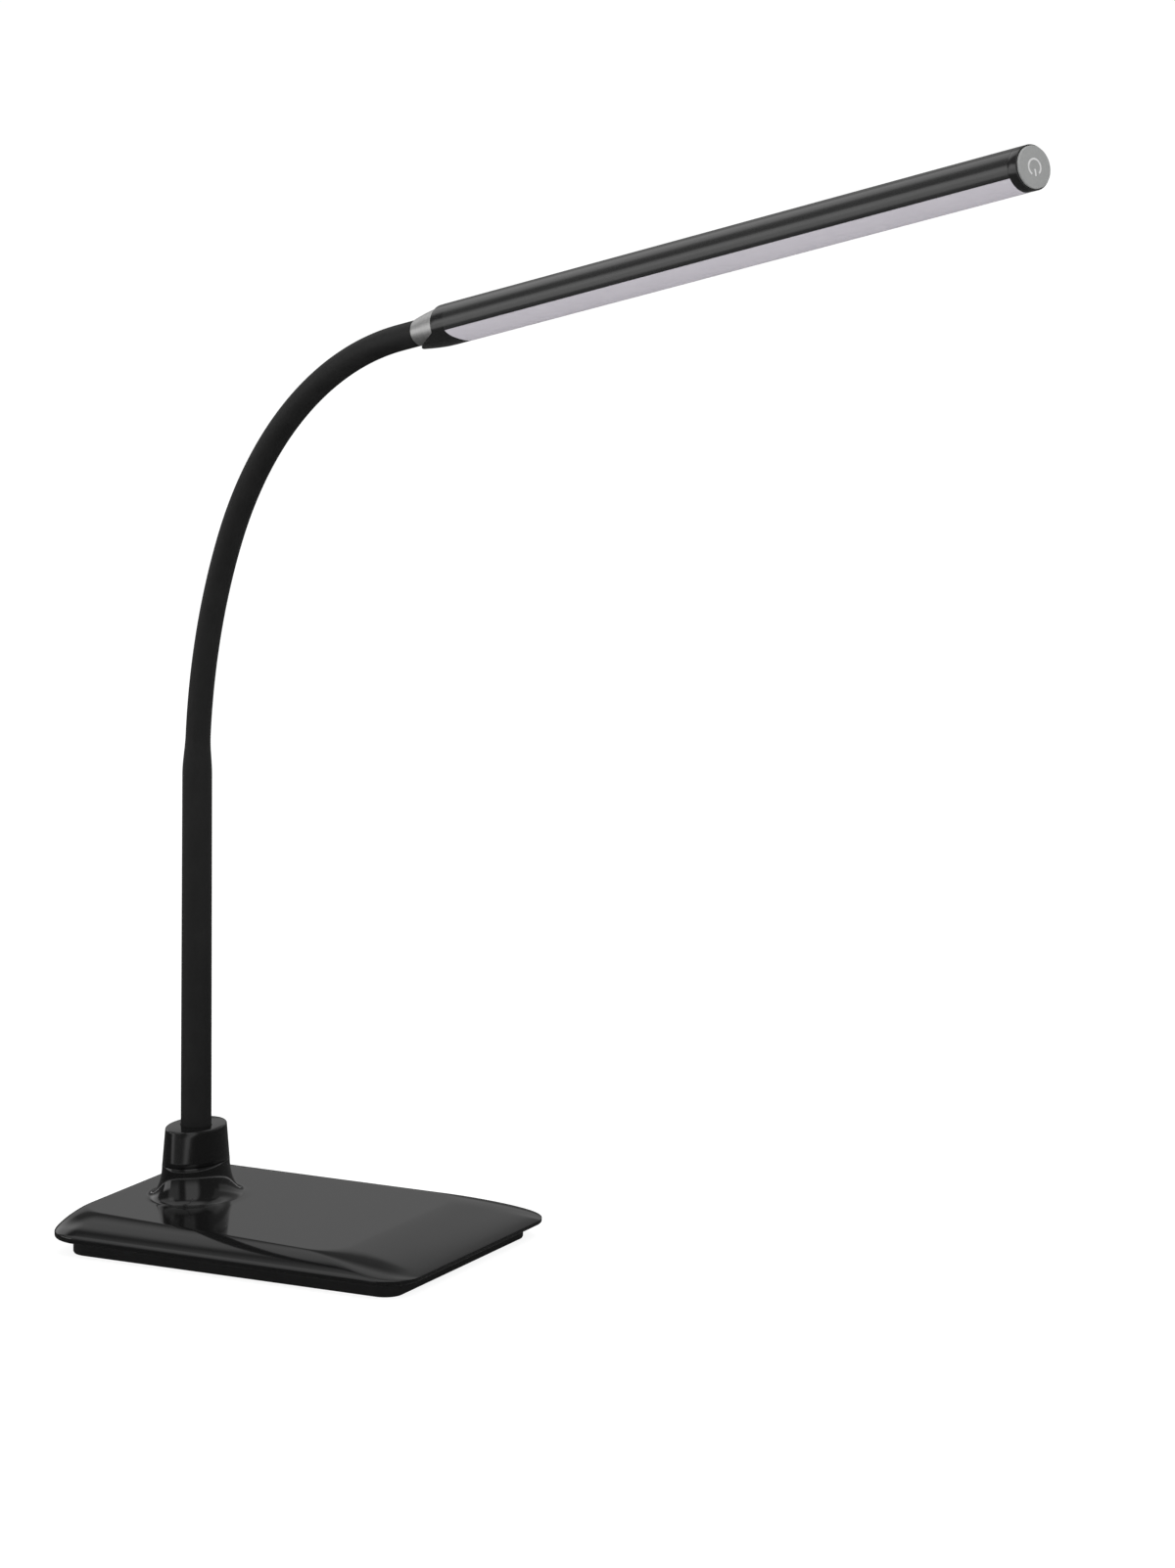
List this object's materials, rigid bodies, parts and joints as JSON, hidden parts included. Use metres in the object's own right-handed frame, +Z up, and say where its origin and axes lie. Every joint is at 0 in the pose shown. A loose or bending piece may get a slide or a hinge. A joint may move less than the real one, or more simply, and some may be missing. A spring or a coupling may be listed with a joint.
{
  "type": "gooseneck desk lamp",
  "caption": "Desk lamp with a weighted flat base, an upright stem, a bendable gooseneck and a slim round tube head with a downward diffuser and a touch cap.",
  "frame": {"origin": "on the table under the stem's axis, on the underside of the base", "axes": "+X to the front edge of the base, +Y to its left seen from behind the stem, +Z up; the neck's plane is turned 23 degrees from +X towards -Y"},
  "size_m": [0.5451, 0.2994, 0.5519],
  "materials": {
    "gloss_black": "gloss black moulded plastic",
    "gloss_black_head": "satin to gloss black moulded plastic",
    "housing_black": "gloss black coated aluminium profile",
    "plinth_black": "fine matt moulded black plastic",
    "foam_mat": "black non-slip foam mat",
    "ballast_iron": "grey iron ballast",
    "sleeve_rubber": "matt black silicone sleeve",
    "bare_steel": "plain zinc plated steel",
    "screw_steel": "zinc plated screws",
    "ferrule_silver": "satin turned aluminium",
    "diffuser_opal": "opal diffusing plastic",
    "led_board": "white solder mask on aluminium",
    "led_chips": "phosphor coated chips",
    "touch_grey": "satin grey touch cap",
    "symbol_light": "pale translucent inlay",
    "circuit_board": "green solder mask",
    "component_black": "moulded component",
    "contact_brass": "plated contact",
    "wire_jacket": "wire insulation"
  },
  "bodies": {
    "base": {"ballast_plate": "ballast_iron", "ballast_screws": "screw_steel", "base_mat": "foam_mat", "base_plinth": "plinth_black", "base_screws": "screw_steel", "base_shell": "gloss_black", "collar_cap": "gloss_black", "driver_board": "circuit_board", "driver_parts": "component_black", "inlet_jack": "component_black", "inlet_pin": "contact_brass", "inlet_wires": "wire_jacket", "neck_core_00": "bare_steel", "neck_sleeve_00": "sleeve_rubber", "stem_nut": "bare_steel", "stem_sleeve": "sleeve_rubber", "stem_tube": "bare_steel", "stem_washer": "bare_steel", "stem_wires": "wire_jacket"},
    "link_01": {"neck_core_01": "bare_steel", "neck_sleeve_01": "sleeve_rubber"},
    "link_02": {"neck_core_02": "bare_steel", "neck_sleeve_02": "sleeve_rubber"},
    "link_03": {"neck_core_03": "bare_steel", "neck_sleeve_03": "sleeve_rubber"},
    "link_04": {"neck_core_04": "bare_steel", "neck_sleeve_04": "sleeve_rubber"},
    "link_05": {"neck_core_05": "bare_steel", "neck_sleeve_05": "sleeve_rubber"},
    "link_06": {"neck_core_06": "bare_steel", "neck_sleeve_06": "sleeve_rubber"},
    "link_07": {"neck_core_07": "bare_steel", "neck_sleeve_07": "sleeve_rubber"},
    "link_08": {"neck_core_08": "bare_steel", "neck_sleeve_08": "sleeve_rubber"},
    "link_09": {"neck_core_09": "bare_steel", "neck_sleeve_09": "sleeve_rubber"},
    "link_10": {"neck_core_10": "bare_steel", "neck_sleeve_10": "sleeve_rubber"},
    "link_11": {"neck_core_11": "bare_steel", "neck_sleeve_11": "sleeve_rubber"},
    "head": {"neck_sleeve_12": "sleeve_rubber", "head_spigot": "bare_steel", "ferrule_ring": "ferrule_silver", "rear_cap": "gloss_black_head", "head_housing": "housing_black", "diffuser": "diffuser_opal", "led_board": "led_board", "led_chips": "led_chips", "head_wires": "wire_jacket", "tip_ring": "gloss_black_head", "touch_cap": "touch_grey", "touch_symbol": "symbol_light", "touch_electrode": "contact_brass", "touch_board": "circuit_board", "tip_screws": "screw_steel", "rear_screws": "screw_steel"}
  },
  "joints": [
    {"name": "lower_bend_1", "type": "hinge", "parent": "base", "child": "link_01", "pos_m": [0.00079, -0.00034, 0.24098], "axis": [0.3907, 0.9205, 0], "range_deg": [-9, 9]},
    {"name": "side_swing_1", "type": "hinge", "parent": "link_01", "child": "link_02", "pos_m": [0.00341, -0.00145, 0.2645], "axis": [-0.9084, 0.3856, 0.1619], "range_deg": [-9, 9]},
    {"name": "lower_bend_2", "type": "hinge", "parent": "link_02", "child": "link_03", "pos_m": [0.00785, -0.00333, 0.2877], "axis": [0.3907, 0.9205, 0], "range_deg": [-9, 9]},
    {"name": "lower_bend_3", "type": "hinge", "parent": "link_03", "child": "link_04", "pos_m": [0.01407, -0.00597, 0.31041], "axis": [0.3907, 0.9205, 0], "range_deg": [-9, 9]},
    {"name": "side_swing_2", "type": "hinge", "parent": "link_04", "child": "link_05", "pos_m": [0.02202, -0.00935, 0.33247], "axis": [-0.8421, 0.3575, 0.4038], "range_deg": [-9, 9]},
    {"name": "lower_bend_4", "type": "hinge", "parent": "link_05", "child": "link_06", "pos_m": [0.03221, -0.01367, 0.35374], "axis": [0.3907, 0.9205, 0], "range_deg": [-9, 9]},
    {"name": "upper_bend_1", "type": "hinge", "parent": "link_06", "child": "link_07", "pos_m": [0.04482, -0.01903, 0.37343], "axis": [0.3907, 0.9205, 0], "range_deg": [-9, 9]},
    {"name": "side_swing_3", "type": "hinge", "parent": "link_07", "child": "link_08", "pos_m": [0.05964, -0.02532, 0.39121], "axis": [-0.6413, 0.2722, 0.7174], "range_deg": [-9, 9]},
    {"name": "upper_bend_2", "type": "hinge", "parent": "link_08", "child": "link_09", "pos_m": [0.07643, -0.03244, 0.40678], "axis": [0.3907, 0.9205, 0], "range_deg": [-9, 9]},
    {"name": "upper_bend_3", "type": "hinge", "parent": "link_09", "child": "link_10", "pos_m": [0.09492, -0.04029, 0.41989], "axis": [0.3907, 0.9205, 0], "range_deg": [-9, 9]},
    {"name": "side_swing_4", "type": "hinge", "parent": "link_10", "child": "link_11", "pos_m": [0.11479, -0.04873, 0.43033], "axis": [-0.3468, 0.1472, 0.9263], "range_deg": [-9, 9]},
    {"name": "upper_bend_4", "type": "hinge", "parent": "link_11", "child": "head", "pos_m": [0.13573, -0.05762, 0.43793], "axis": [0.3907, 0.9205, 0], "range_deg": [-9, 9]}
  ]
}
